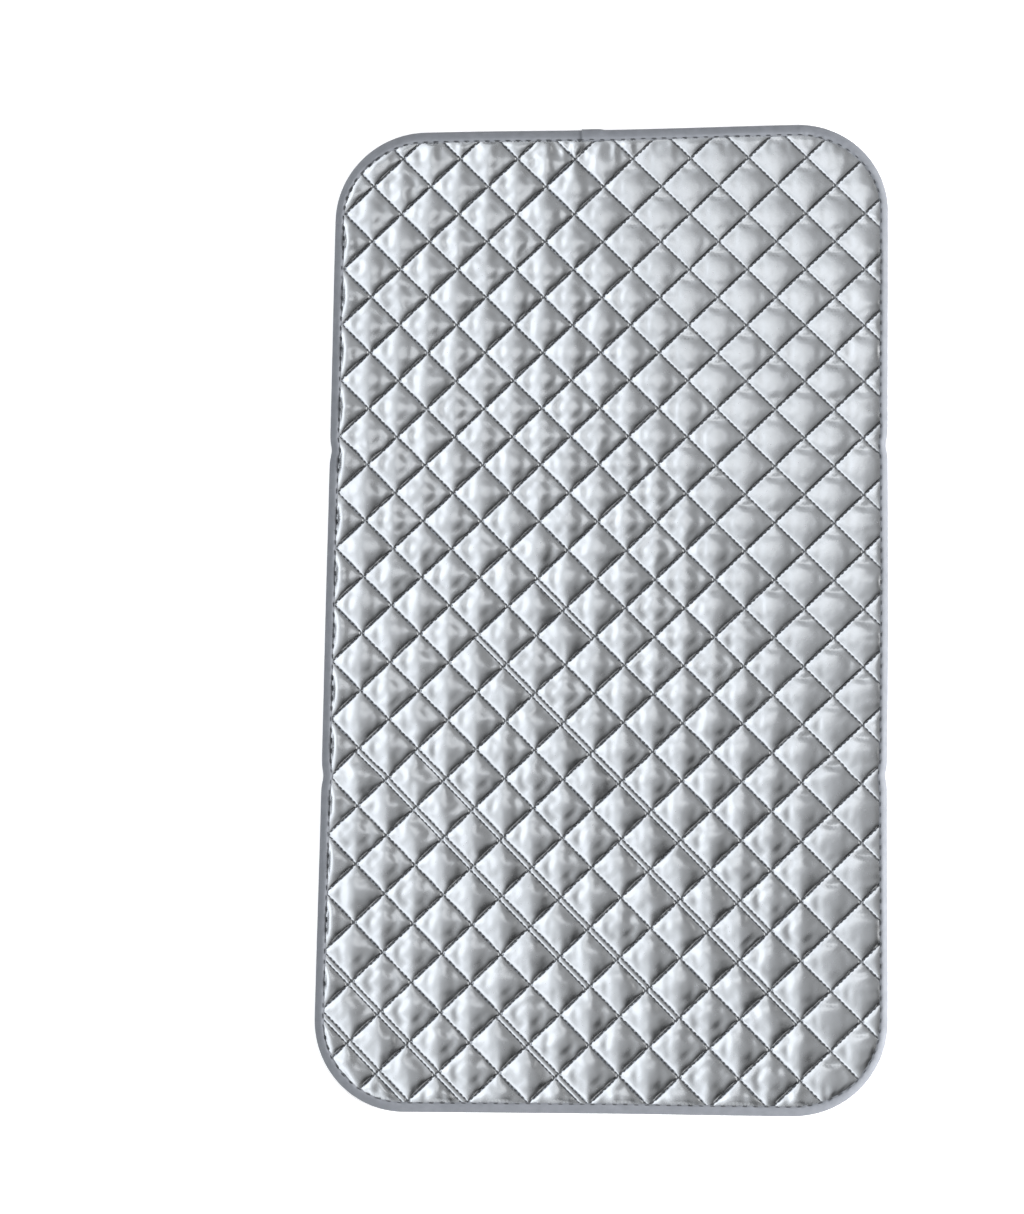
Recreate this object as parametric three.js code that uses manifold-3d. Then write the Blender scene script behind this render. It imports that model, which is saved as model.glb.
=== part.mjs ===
// Quilted ironing pad, lying flat with its silver face up.
// A coated cover, soft wadding and a backing cloth are quilted together in diamonds,
// and one folded tape binds the three layers round the edge.
// Millimetres. X is the width, Y the length and Z up; the pad rests on Z = 0.

import * as THREE from 'three';
import { mergeVertices } from 'three/addons/utils/BufferGeometryUtils.js';
import Module from 'manifold-3d';

const wasm = await Module();
wasm.setup();

// Finished outline
const padWidth = 480;
const padLength = 850;
const cornerRadius = 78;
const cornerSteps = 6;

// Room left between neighbouring pieces
const clearance = 0.3;

// Layers, with the wadding as it is pressed under the tape
const backingThickness = 0.5;
const pressedWadding = 0.5;
const coverThickness = 0.4;
const puffHeight = 4.5;
const leastPuffedShare = 0.4;

// Folded edge tape, and the run over which the cloth rises into its fold
const tapeThickness = 0.6;
const tapeFaceWidth = 9;
const tapeEdgeSteps = 6;
const hemRise = 4;

// Lap where the tape's right end lies over its left end, on the top edge
const lapEndX = -25;
const lapLength = 15;
const lapStepLength = 6;
const lapWrapAngle = THREE.MathUtils.degToRad(40);
const lapArcSegments = 4;

// Quilting seams: slope from the width, spacing across the seams, and place of the middle one
const fallingAngle = THREE.MathUtils.degToRad(-45.1);
const fallingPitch = 35.05;
const fallingOffset = 14.7;
const risingAngle = THREE.MathUtils.degToRad(44);
const risingPitch = 35.45;
const risingOffset = -11.35;
const shortestSeam = 15;

// Sewing thread, pressed flat
const threadWidth = 0.8;
const threadThickness = 0.3;
const bindingStitchInset = 7.4;

// Heights worked out from the stack of layers
const hemBackingBottom = tapeThickness + clearance;
const hemBackingTop = hemBackingBottom + backingThickness;
const hemWaddingBottom = hemBackingTop + clearance;
const fieldWaddingBottom = backingThickness + clearance;
const seamWaddingTop = hemWaddingBottom + pressedWadding;
const coverBottom = seamWaddingTop + clearance;
const coverTop = coverBottom + coverThickness;
const upperLipBottom = coverTop + clearance;
const tapeTop = upperLipBottom + tapeThickness;
const tapeRadius = tapeTop / 2;
const lapTop = tapeTop + clearance + tapeThickness;
const valleyRise = threadWidth * puffHeight / Math.min(fallingPitch, risingPitch);
const fallingThreadBottom = coverTop + valleyRise + clearance;
const risingThreadBottom = fallingThreadBottom + threadThickness + clearance;

// Insets from the finished outline
const clothInset = tapeRadius + clearance;
const fieldInset = tapeFaceWidth + clearance;
const hemInset = fieldInset + hemRise;

// Finishes
const silverCloth = { color: 0xb4b8bc, roughness: 0.4, metalness: 0.65 };
const whiteFibre = { color: 0xf0eee8, roughness: 1, metalness: 0 };
const greyCloth = { color: 0xc6c9cc, roughness: 0.9, metalness: 0 };
const satinTape = { color: 0xa8acb3, roughness: 0.45, metalness: 0.3 };
const greyThread = { color: 0x6d7076, roughness: 0.7, metalness: 0 };

const pad = new THREE.Group();

function addPiece(name, geometry, finish) {
  const piece = new THREE.Mesh(geometry, new THREE.MeshStandardMaterial(finish));
  piece.name = name;
  pad.add(piece);
  return piece;
}

// Geometry from shared points and triangles
function meshGeometry(points, faces) {
  const geometry = new THREE.BufferGeometry();
  geometry.setFromPoints(points);
  geometry.setIndex(faces.flat());
  geometry.computeVertexNormals();
  return geometry;
}

function at(height) {
  return (point) => new THREE.Vector3(point.x, point.y, height);
}

// The outline's points counter-clockwise from the lower right corner, moved in by an inset
function outline(inset) {
  const radius = cornerRadius - inset;
  const reachX = padWidth / 2 - cornerRadius;
  const reachY = padLength / 2 - cornerRadius;
  const points = [];
  [[1, -1], [1, 1], [-1, 1], [-1, -1]].forEach(([sideX, sideY], quarter) => {
    for (let step = 0; step <= cornerSteps; step += 1) {
      const angle = (quarter - 1 + step / cornerSteps) * Math.PI / 2;
      const x = sideX * reachX + radius * Math.cos(angle);
      const y = sideY * reachY + radius * Math.sin(angle);
      points.push(new THREE.Vector2(x, y));
    }
  });
  return points;
}

// The same points from the left of the top edge round to its right, with the given ends on that edge
function topEdgeToTopEdge(inset, leftEnds, rightEnds) {
  const points = outline(inset);
  const topLeftStart = 2 * (cornerSteps + 1);
  const onTopEdge = (x) => new THREE.Vector2(x, padLength / 2 - inset);
  return [
    ...leftEnds.map(onTopEdge),
    ...points.slice(topLeftStart),
    ...points.slice(0, topLeftStart),
    ...rightEnds.map(onTopEdge),
  ];
}

// Faces between two stations of the same point count, which go round counter-clockwise
function bandFaces(first, second, count) {
  const faces = [];
  for (let place = 0; place < count; place += 1) {
    const next = (place + 1) % count;
    faces.push([first + place, first + next, second + next]);
    faces.push([first + place, second + next, second + place]);
  }
  return faces;
}

function shifted(faces, start) {
  return faces.map((face) => face.map((index) => index + start));
}

function reversed(faces) {
  return faces.map(([a, b, c]) => [a, c, b]);
}

// Walls swept through stations, each a counter-clockwise section, as a closed ring or open at both ends
function sweep(stations, closed) {
  const count = stations[0].length;
  const faces = [];
  const joins = closed ? stations.length : stations.length - 1;
  for (let station = 0; station < joins; station += 1) {
    const next = (station + 1) % stations.length;
    faces.push(...bandFaces(station * count, next * count, count));
  }
  return { points: stations.flat(), faces };
}

// Rounded sheets

// A solid lofted through outline rings from its flat bottom to its flat top
function loftedSheet(levels) {
  const rings = levels.map(({ inset, height }) => outline(inset).map(at(height)));
  const { points, faces } = sweep(rings, false);
  const cap = THREE.ShapeUtils.triangulateShape(outline(levels[0].inset), []);
  const topCap = THREE.ShapeUtils.triangulateShape(outline(levels.at(-1).inset), []);
  faces.push(...reversed(cap));
  faces.push(...shifted(topCap, points.length - rings[0].length));
  return meshGeometry(points, faces);
}

function backing() {
  return loftedSheet([
    { inset: hemInset, height: 0 },
    { inset: fieldInset, height: hemBackingBottom },
    { inset: clothInset, height: hemBackingBottom },
    { inset: clothInset, height: hemBackingTop },
    { inset: fieldInset, height: hemBackingTop },
    { inset: hemInset, height: backingThickness },
  ]);
}

// Quilting lattice

function seamNormal(angle) {
  return new THREE.Vector2(-Math.sin(angle), Math.cos(angle));
}

const fallingNormal = seamNormal(fallingAngle);
const risingNormal = seamNormal(risingAngle);

// Where a falling and a rising seam cross
function crossing(falling, rising) {
  const fallingPlace = fallingOffset + falling * fallingPitch;
  const risingPlace = risingOffset + rising * risingPitch;
  const turn = fallingNormal.cross(risingNormal);
  return new THREE.Vector2(
    (fallingPlace * risingNormal.y - risingPlace * fallingNormal.y) / turn,
    (risingPlace * fallingNormal.x - fallingPlace * risingNormal.x) / turn,
  );
}

function seamNumbers(pitch) {
  const reach = Math.ceil((padWidth + padLength) / 2 / pitch);
  return Array.from({ length: 2 * reach + 1 }, (_, place) => place - reach);
}

// A polygon cut back to a convex outline that goes counter-clockwise
function clipped(polygon, border) {
  let kept = polygon;
  border.forEach((from, place) => {
    const to = border[(place + 1) % border.length];
    const along = to.clone().sub(from);
    const depth = (point) => along.cross(point.clone().sub(from));
    const cut = [];
    kept.forEach((point, index) => {
      const next = kept[(index + 1) % kept.length];
      const depthHere = depth(point);
      const depthNext = depth(next);
      if (depthHere >= 0) {
        cut.push(point);
      }
      if (depthHere * depthNext < 0) {
        cut.push(point.clone().lerp(next, depthHere / (depthHere - depthNext)));
      }
    });
    kept = cut;
  });
  return kept;
}

function centreOf(polygon) {
  const sum = polygon.reduce((total, point) => total.add(point), new THREE.Vector2());
  return sum.divideScalar(polygon.length);
}

// The puffed cells inside the tape: points with their share of the crown, faces and the rim loop
function quiltedField() {
  const border = outline(fieldInset);
  const points = [];
  const faces = [];
  const known = new Map();
  const indexOf = (point) => {
    const key = `${point.x.toFixed(3)} ${point.y.toFixed(3)}`;
    if (!known.has(key)) {
      known.set(key, points.length);
      points.push({ x: point.x, y: point.y, crown: 0 });
    }
    return known.get(key);
  };
  const wholeCell = [crossing(0, 0), crossing(1, 0), crossing(1, 1), crossing(0, 1)];
  const wholeArea = THREE.ShapeUtils.area(wholeCell);

  for (const falling of seamNumbers(fallingPitch)) {
    for (const rising of seamNumbers(risingPitch)) {
      const cell = clipped([
        crossing(falling, rising),
        crossing(falling + 1, rising),
        crossing(falling + 1, rising + 1),
        crossing(falling, rising + 1),
      ], border);
      const loop = [...new Set(cell.map(indexOf))];
      if (loop.length < 3) {
        continue;
      }
      const share = THREE.ShapeUtils.area(cell) / wholeArea;
      if (share < leastPuffedShare) {
        for (let place = 1; place < loop.length - 1; place += 1) {
          faces.push([loop[0], loop[place], loop[place + 1]]);
        }
        continue;
      }
      const peak = indexOf(centreOf(cell));
      points[peak].crown = share;
      loop.forEach((corner, place) => {
        faces.push([corner, loop[(place + 1) % loop.length], peak]);
      });
    }
  }
  return { points, faces, rim: rimLoop(faces) };
}

// The loop of edges that only one face uses
function rimLoop(faces) {
  const edges = faces.flatMap(([a, b, c]) => [[a, b], [b, c], [c, a]]);
  const used = new Set(edges.map(([from, to]) => `${from} ${to}`));
  const following = new Map(edges.filter(([from, to]) => !used.has(`${to} ${from}`)));
  const start = following.keys().next().value;
  const loop = [start];
  for (let place = following.get(start); place !== start; place = following.get(place)) {
    loop.push(place);
  }
  return loop;
}

const field = quiltedField();

function fieldPoints(seamHeight) {
  return field.points.map(({ x, y, crown }) => new THREE.Vector3(x, y, seamHeight + crown * puffHeight));
}

// Flat faces between an outer ring and the field's rim, whose points start at the given indexes
function hemFaces(ring, ringStart, rimStart) {
  const rim = field.rim.map((index) => new THREE.Vector2(field.points[index].x, field.points[index].y));
  const place = (index) => (
    index < ring.length ? ringStart + index : rimStart + field.rim[index - ring.length]
  );
  return THREE.ShapeUtils.triangulateShape(ring, [rim]).map((face) => face.map(place));
}

// The cover: a thin cloth shell that stands up between the seams
function cover() {
  const edge = outline(clothInset);
  const top = fieldPoints(coverTop);
  const bottom = fieldPoints(coverBottom);
  const bottomStart = top.length;
  const topEdgeStart = 2 * top.length;
  const bottomEdgeStart = topEdgeStart + edge.length;
  const points = [...top, ...bottom, ...edge.map(at(coverTop)), ...edge.map(at(coverBottom))];
  const faces = [
    ...field.faces,
    ...reversed(shifted(field.faces, bottomStart)),
    ...hemFaces(edge, topEdgeStart, 0),
    ...reversed(hemFaces(edge, bottomEdgeStart, bottomStart)),
    ...bandFaces(bottomEdgeStart, topEdgeStart, edge.length),
  ];
  return meshGeometry(points, faces);
}

// The wadding: crowned under the cover, flat below, pressed thin where the tape holds it
function wadding() {
  const edge = outline(clothInset);
  const count = edge.length;
  const top = fieldPoints(seamWaddingTop);
  const rings = [
    outline(hemInset).map(at(fieldWaddingBottom)),
    outline(fieldInset).map(at(hemWaddingBottom)),
    edge.map(at(hemWaddingBottom)),
    edge.map(at(seamWaddingTop)),
  ];
  const under = sweep(rings, false);
  const floor = THREE.ShapeUtils.triangulateShape(outline(hemInset), []);
  const points = [...under.points, ...top];
  const faces = [
    ...under.faces,
    ...reversed(floor),
    ...shifted(field.faces, under.points.length),
    ...hemFaces(edge, under.points.length - count, under.points.length),
  ];
  return meshGeometry(points, faces);
}

// Edge tape

function closedSolid(geometry) {
  const bare = geometry.clone();
  bare.deleteAttribute('normal');
  bare.deleteAttribute('uv');
  const merged = mergeVertices(bare, 1e-4);
  const vertProperties = new Float32Array(merged.attributes.position.array);
  const triVerts = new Uint32Array(merged.index.array);
  return new wasm.Manifold(new wasm.Mesh({ numProp: 3, vertProperties, triVerts }));
}

function geometryOf(solid) {
  const { vertProperties, triVerts } = solid.getMesh();
  const geometry = new THREE.BufferGeometry();
  geometry.setAttribute('position', new THREE.BufferAttribute(vertProperties, 3));
  geometry.setIndex(new THREE.BufferAttribute(triVerts, 1));
  geometry.computeVertexNormals();
  return geometry;
}

// The folded tape's section: inset from the outline against height, open towards the pad
function tapeSection() {
  const section = new THREE.Shape();
  const quarterTurn = Math.PI / 2;
  section.moveTo(tapeFaceWidth, tapeTop);
  section.lineTo(tapeRadius, tapeTop);
  section.absarc(tapeRadius, tapeRadius, tapeRadius, quarterTurn, 3 * quarterTurn, false);
  section.lineTo(tapeFaceWidth, 0);
  section.lineTo(tapeFaceWidth, tapeThickness);
  section.lineTo(tapeRadius, tapeThickness);
  section.absarc(tapeRadius, tapeRadius, tapeRadius - tapeThickness, 3 * quarterTurn, quarterTurn, true);
  section.lineTo(tapeFaceWidth, upperLipBottom);
  return section.getPoints(tapeEdgeSteps / 2);
}

// The tape's run right round the pad, open at the join under the lap
function tapeStrip() {
  const joinX = lapEndX + lapLength;
  const section = tapeSection();
  const loops = section.map(({ x: inset, y: height }) => (
    topEdgeToTopEdge(inset, [joinX - clearance], [joinX]).map(at(height))
  ));
  const stations = loops[0].map((_, place) => loops.map((loop) => loop[place]));
  const { points, faces } = sweep(stations, false);
  const cap = THREE.ShapeUtils.triangulateShape(section, []);
  faces.push(...reversed(cap));
  faces.push(...shifted(cap, points.length - section.length));
  return meshGeometry(points, faces);
}

// A layer over the tape's face, wrapped part way round its fold, from one place on the top edge leftwards
function lapLayer(innerRadius, startX, length) {
  const outerRadius = tapeRadius + clearance + tapeThickness;
  const top = Math.PI / 2;
  const profile = new THREE.Shape();
  profile.moveTo(tapeFaceWidth, tapeRadius + outerRadius);
  profile.lineTo(tapeRadius, tapeRadius + outerRadius);
  profile.absarc(tapeRadius, tapeRadius, outerRadius, top, top + lapWrapAngle, false);
  profile.absarc(tapeRadius, tapeRadius, innerRadius, top + lapWrapAngle, top, true);
  profile.lineTo(tapeFaceWidth, tapeRadius + innerRadius);
  const layer = new THREE.ExtrudeGeometry(profile, {
    depth: length,
    bevelEnabled: false,
    curveSegments: lapArcSegments,
  });
  const inward = new THREE.Vector3(0, -1, 0);
  const up = new THREE.Vector3(0, 0, 1);
  const leftward = new THREE.Vector3(-1, 0, 0);
  const placing = new THREE.Matrix4().makeBasis(inward, up, leftward);
  placing.setPosition(startX, padLength / 2, 0);
  return layer.applyMatrix4(placing);
}

function bindingTape() {
  const stepX = lapEndX + lapLength + lapStepLength;
  const lap = lapLayer(tapeRadius + clearance, stepX, lapLength + lapStepLength);
  const step = lapLayer(tapeRadius - tapeThickness / 2, stepX, lapStepLength);
  return geometryOf(closedSolid(tapeStrip()).add(closedSolid(step)).add(closedSolid(lap)));
}

// Threads

// The row of stitches that holds the tape, lifted where it crosses the lap
function bindingThread() {
  const lapLeft = lapEndX - clearance;
  const lapRight = lapEndX + lapLength + lapStepLength + clearance;
  const rise = tapeThickness + clearance;
  const leftEnds = [lapLeft, lapLeft - rise];
  const rightEnds = [lapRight + rise, lapRight];
  const low = tapeTop + clearance;
  const high = lapTop + clearance;
  const side = (inset, above) => {
    const run = topEdgeToTopEdge(inset, leftEnds, rightEnds);
    return run.map((point, place) => {
      const onLap = place === 0 || place === run.length - 1;
      return at((onLap ? high : low) + above)(point);
    });
  };
  const inner = bindingStitchInset + threadWidth / 2;
  const outer = bindingStitchInset - threadWidth / 2;
  const loops = [side(inner, 0), side(inner, threadThickness), side(outer, threadThickness), side(outer, 0)];
  const stations = loops[0].map((_, place) => loops.map((loop) => loop[place]));
  const { points, faces } = sweep(stations, true);
  return meshGeometry(points, faces);
}

// The stretch of a seam inside a convex outline, as distances along it
function seamSpan(onSeam, direction, border) {
  let start = -Infinity;
  let end = Infinity;
  border.forEach((from, place) => {
    const along = border[(place + 1) % border.length].clone().sub(from);
    const depth = along.cross(onSeam.clone().sub(from));
    const gain = along.cross(direction);
    const meeting = -depth / gain;
    if (gain > 0) {
      start = Math.max(start, meeting);
    } else if (gain < 0) {
      end = Math.min(end, meeting);
    } else if (depth < 0) {
      end = -Infinity;
    }
  });
  return { start: start + threadWidth, end: end - threadWidth };
}

// One thread for each seam, numbered from the lowest
function quiltingThreads(family, { angle, pitch, offset, bottom }) {
  const border = outline(fieldInset);
  const direction = new THREE.Vector2(Math.cos(angle), Math.sin(angle));
  let count = 0;
  for (const seam of seamNumbers(pitch)) {
    const onSeam = seamNormal(angle).multiplyScalar(offset + seam * pitch);
    const { start, end } = seamSpan(onSeam, direction, border);
    if (end - start < shortestSeam) {
      continue;
    }
    count += 1;
    const name = `${family}_thread_${String(count).padStart(2, '0')}`;
    const bar = new THREE.BoxGeometry(end - start, threadWidth, threadThickness);
    const thread = addPiece(name, bar, greyThread);
    const middle = direction.clone().multiplyScalar((start + end) / 2).add(onSeam);
    thread.position.set(middle.x, middle.y, bottom + threadThickness / 2);
    thread.rotation.z = angle;
  }
}

addPiece('backing', backing(), greyCloth);
addPiece('wadding', wadding(), whiteFibre);
addPiece('cover', cover(), silverCloth);
addPiece('binding_tape', bindingTape(), satinTape);
addPiece('binding_thread', bindingThread(), greyThread);
quiltingThreads('falling', {
  angle: fallingAngle,
  pitch: fallingPitch,
  offset: fallingOffset,
  bottom: fallingThreadBottom,
});
quiltingThreads('rising', {
  angle: risingAngle,
  pitch: risingPitch,
  offset: risingOffset,
  bottom: risingThreadBottom,
});

export default pad;
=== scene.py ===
"""Looks of the quilted ironing pad: simulated cloth, binding tape, stitches, finishes and studio."""

import math

import bpy
import numpy as np
from mathutils import Matrix, Vector


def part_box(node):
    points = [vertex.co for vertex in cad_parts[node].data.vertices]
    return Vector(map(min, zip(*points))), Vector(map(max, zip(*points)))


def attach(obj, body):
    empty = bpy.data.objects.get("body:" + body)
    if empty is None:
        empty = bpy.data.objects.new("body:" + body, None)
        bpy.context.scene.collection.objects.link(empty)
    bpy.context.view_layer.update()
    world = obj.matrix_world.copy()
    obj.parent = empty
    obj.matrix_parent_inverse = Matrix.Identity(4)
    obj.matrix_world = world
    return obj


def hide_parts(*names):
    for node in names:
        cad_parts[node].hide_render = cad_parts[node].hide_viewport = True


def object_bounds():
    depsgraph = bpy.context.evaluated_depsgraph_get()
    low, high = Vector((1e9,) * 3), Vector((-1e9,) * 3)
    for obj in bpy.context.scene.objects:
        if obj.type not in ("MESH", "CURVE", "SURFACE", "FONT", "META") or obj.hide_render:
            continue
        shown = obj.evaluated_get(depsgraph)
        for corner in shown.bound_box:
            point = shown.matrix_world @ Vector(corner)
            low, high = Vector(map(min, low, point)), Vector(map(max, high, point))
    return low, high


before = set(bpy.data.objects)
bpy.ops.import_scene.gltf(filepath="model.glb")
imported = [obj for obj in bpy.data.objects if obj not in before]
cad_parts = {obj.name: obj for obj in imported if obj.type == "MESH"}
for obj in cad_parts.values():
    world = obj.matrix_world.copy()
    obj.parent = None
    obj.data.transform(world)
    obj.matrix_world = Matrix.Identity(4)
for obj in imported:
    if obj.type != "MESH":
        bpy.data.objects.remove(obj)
cad_low, cad_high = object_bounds()

MM = 0.001
DEGREE = math.pi / 180

# Sizes in millimetres
PAD_WIDTH = (cad_high.x - cad_low.x) / MM
PAD_LENGTH = (cad_high.y - cad_low.y) / MM
CORNER_RADIUS = 78

# Cloths: how far inside the outline they end, how far the cover drops there, its thickness, the height of
# each at its seams, how far the cover's puffs rise above them, and how far the backing sags below them
CLOTH_INSET = 2.2
COVER_EDGE_DROP = 0.8
COVER_THICKNESS = 0.4
COVER_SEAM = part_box("cover")[0].z / MM + COVER_THICKNESS
PUFF_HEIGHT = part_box("cover")[1].z / MM - COVER_SEAM
BACKING_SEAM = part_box("backing")[1].z / MM
BACKING_SAG = 0.5

# How high the cover may stand at the tape's inner edge, and how steeply it may rise from there
COVER_RIM_ROOM = 0.3
COVER_RIM_SLOPE = 1.2

# Wadding: its height over the backing's seams, its gap below the cover, and its least thickness
WADDING_RISE = 0.3
WADDING_GAP = 0.8
WADDING_LEAST = 0.4

# Room under the backing and the tape, so that neither lies in the floor
BACKING_ROOM = 0.05
TAPE_ROOM = 0.02

# Quilting seams: slope from the width, spacing across the seams, and place of the middle one
FALLING = {"angle": -45.1 * DEGREE, "pitch": 35.05, "offset": 14.7}
RISING = {"angle": 44 * DEGREE, "pitch": 35.45, "offset": -11.35}

# Grid steps along one side of a quilted cell
COVER_STEPS = 16
BACKING_STEPS = 8
WADDING_STEPS = 4

# Falling seams that were sewn twice, and rising seams beside which the cover lies in a tuck:
# the seam's number, and the crossing seams between which the second line runs
SECOND_LINES = {
    "falling": [
        (-1, 0, 2), (-3, -8, 2), (-4, -10, -4), (-6, -8, 1),
        (-7, -6, 2), (-9, -8, -5), (-11, -6, -1), (-12, -5, -2),
    ],
    "rising": [
        (2, -6, -5), (0, 1, 5), (-8, -4, -3), (-8, -1, 0), (-9, -2, -1), (-10, -3, -2), (-11, -4, -3),
    ],
}

# Grid steps from a seam to its second line, the height of the roll between double rows, and the height of a
# tuck above its seam, with what it gains at each step
SECOND_LINE_STEPS = {"falling": 2, "rising": 3}
ROLL_HEIGHT = 0.5
TUCK_HEIGHT = 1.9
TUCK_SLOPE = 0.1

# How much longer than flat each cloth is between its seams, what the cover gains beside the tape's lap, and
# what it loses where it lies flatter
COVER_SLACK = 0.03
COVER_SLACK_LAP = 0.03
COVER_SLACK_LOSS = 0.012
BACKING_SLACK = 0.016

# Fullness of the puffs: the lower its power, the fuller they are. Then what the power and the height lose
# where the cover lies flatter.
PUFF_POWER = 0.75
PUFF_POWER_LOSS = 0.1
PUFF_HEIGHT_LOSS = 0.38

# Hollows in each cell: place and size to the right and up, in shares of half the cell's diagonals, and
# depth. The brow and the chin are the curved folds of the flatter cells. Then how far they wander and bend,
# and the share that they lose in the flatter cells.
HOLLOWS = {
    "left": {"place": (-0.45, 0), "size": (0.1, 0.26), "depth": 0.5},
    "spot": {"place": (-0.15, -0.25), "size": (0.06, 0.12), "depth": 0.2},
    "right": {"place": (0.5, 0), "size": (0.08, 0.2), "depth": 0.22},
    "brow": {"place": (0, 0.58), "size": (0.28, 0.09), "depth": 2.1},
    "chin": {"place": (0, -0.56), "size": (0.24, 0.1), "depth": 1.4},
}
HOLLOW_WANDER = 0.1
HOLLOW_BEND = 0.3
HOLLOW_LOSS = 0.3

# The ridge up the middle of a cell: height, what it loses in the flatter cells, and width in the same
# shares. Then the height and the width of the ripples beside it.
RIDGE_HEIGHT = 0.42
RIDGE_LOSS = 0.3
RIDGE_WIDTH = 0.16
RIPPLE_HEIGHT = 0.08
RIPPLE_SIZE = 4.5

# Small folds where the tape gathers the cover: width, depth and reach, and what the last two gain by the lap
GATHER_SIZE = 4.5
GATHER_DEPTH = 0.55
GATHER_DEPTH_LAP = 1.3
GATHER_REACH = 20
GATHER_REACH_LAP = 28

# Quilting stitches, how far they stand off the cover and the backing, and how far the needle wanders
QUILTING_STITCH = {"pitch": 4.3, "length": 3.1, "radius": 0.6}
COVER_STITCH_RISE = 0.1
BACKING_STITCH_RISE = -0.05
NEEDLE_WANDER = 0.12

# Folded edge tape: how far it reaches over the cover on the left and below, on the right and on top, its
# height at the inner edge, at its crest and at its nose, the share of its reach from the edge to the crest,
# the power of its curve from there to the nose, how far under its edge the cloths are first held, and the
# thickness of its own cloth
TAPE_FACE = 8.4
TAPE_FACE_RIGHT = 6.8
TAPE_FACE_TOP = 10.4
TAPE_EDGE = 3.4
TAPE_TOP = 4.4
TAPE_NOSE = 1.3
TAPE_CREST = 0.22
TAPE_CURVE = 1.8
TAPE_HOLD = 2.5
TAPE_THICKNESS = 0.45

# The tape's stitches, how far they lie from its edge and above it, the groove along them, and how far each
# of them draws the tape in
TAPE_STITCH = {"pitch": 9.0, "length": 5.2, "radius": 0.65}
TAPE_STITCH_MARGIN = 1.0
TAPE_STITCH_RISE = 0.4
TAPE_GROOVE = 0.1
TAPE_GROOVE_WIDTH = 0.8
TAPE_PULL = 0.35

# The tape's inner lip: its width, how far its very edge flares up, its gathers, and how far its edge
# wanders over long and short stretches
LIP_WIDTH = 6
LIP_FLARE = 0.15
LIP_FLARE_WIDTH = 0.9
LIP_GATHER = 0.18
LIP_GATHER_PITCH = 6.3
LIP_WANDER_LONG = 0.4
LIP_WANDER_SHORT = 0.3

# Lap of the tape's end over its start: where it ends, its length, the length of its rise, and its height
LAP_END_X = -25
LAP_LENGTH = 15
LAP_STEP = 7
LAP_LIFT = 0.8

# Where the cover is gathered and slack beside the lap: the middle, the width to each side, and the places
# up the pad at which it starts and is full
LAP_GATHERS = {"middle": LAP_END_X, "width": 38, "start": 300, "full": 380}
LAP_SLACK = {"middle": -32, "width": 34, "start": 330, "full": 400}

# How the pad lies: width and height of its lifted edge, and how far its outline wanders
EDGE_BAND = 70
EDGE_LIFT = 0.5
OUTLINE_WANDER = 0.9

# Creases left by folding the pad in three: place, width, height, how far they pull in the sides, and where
# that begins
CREASE_Y = PAD_LENGTH / 6
CREASE_WIDTH = 7
CREASE_LIFT = 0.5
CREASE_PULL = 1.6
CREASE_SIDE = 120


# Shapes shared by the pieces

def soft_noise(x, y, size, seed):
    """Smooth random values from -1 to 1 that change over about the given size."""
    count = 64
    table = np.random.default_rng(seed).uniform(-1, 1, (count, count))
    across, along = x / size, y / size
    column, row = np.floor(across).astype(int), np.floor(along).astype(int)
    s, t = across - column, along - row
    s, t = s * s * (3 - 2 * s), t * t * (3 - 2 * t)

    def corner(right, up):
        return table[(column + right) % count, (row + up) % count]

    low = corner(0, 0) * (1 - s) + corner(1, 0) * s
    high = corner(0, 1) * (1 - s) + corner(1, 1) * s
    return low * (1 - t) + high * t


def bump(distance, width):
    """1 at no distance, fading over about the width to both sides."""
    return np.exp(-(distance / width) ** 2)


def rise(value, start, end):
    """0 up to start, 1 from end on, and smooth between."""
    t = np.clip((value - start) / (end - start), 0, 1)
    return t * t * (3 - 2 * t)


def core_point(x, y):
    """The nearest point of the rectangle that the corners' centres span."""
    half_x, half_y = PAD_WIDTH / 2 - CORNER_RADIUS, PAD_LENGTH / 2 - CORNER_RADIUS
    return np.clip(x, -half_x, half_x), np.clip(y, -half_y, half_y)


def inset_of(x, y):
    """How far a point lies inside the pad's outline."""
    half_x, half_y = PAD_WIDTH / 2, PAD_LENGTH / 2
    core_x, core_y = core_point(x, y)
    deep = np.minimum(half_x - np.abs(x), half_y - np.abs(y))
    near = CORNER_RADIUS - np.hypot(x - core_x, y - core_y)
    return np.where(deep > CORNER_RADIUS, deep, np.minimum(deep, near))


def facing(x, y):
    """How far the nearest edge faces right and up: from -1 to 1 each."""
    core_x, core_y = core_point(x, y)
    out_x, out_y = x - core_x, y - core_y
    reach = np.maximum(np.hypot(out_x, out_y), 1e-9)
    return out_x / reach, out_y / reach


def tape_face(rightward, upward):
    """How far the tape reaches over the cover: most at the top, and least on the right, where more of it
    is turned under."""
    on_right, on_top = rise(rightward, 0.2, 0.9), rise(upward, 0.2, 0.9)
    return TAPE_FACE + (TAPE_FACE_RIGHT - TAPE_FACE) * on_right + (TAPE_FACE_TOP - TAPE_FACE) * on_top


def pull_to_edge(x, y, inset):
    """Moves points that lie outside an inset outline back onto it."""
    core_x, core_y = core_point(x, y)
    out_x, out_y = x - core_x, y - core_y
    reach = np.maximum(np.hypot(out_x, out_y), 1e-9)
    share = np.where(inset_of(x, y) < inset, (CORNER_RADIUS - inset) / reach, 1)
    return core_x + out_x * share, core_y + out_y * share


def flatter_side(x, y):
    """1 in the upper right of the pad and along its right edge, where the cover lies smoother, else 0."""
    upper_right = rise(x + 0.35 * y, 60, 190)
    right_edge = rise(x, 165, 195)
    return np.maximum(upper_right, 0.8 * right_edge)


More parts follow.
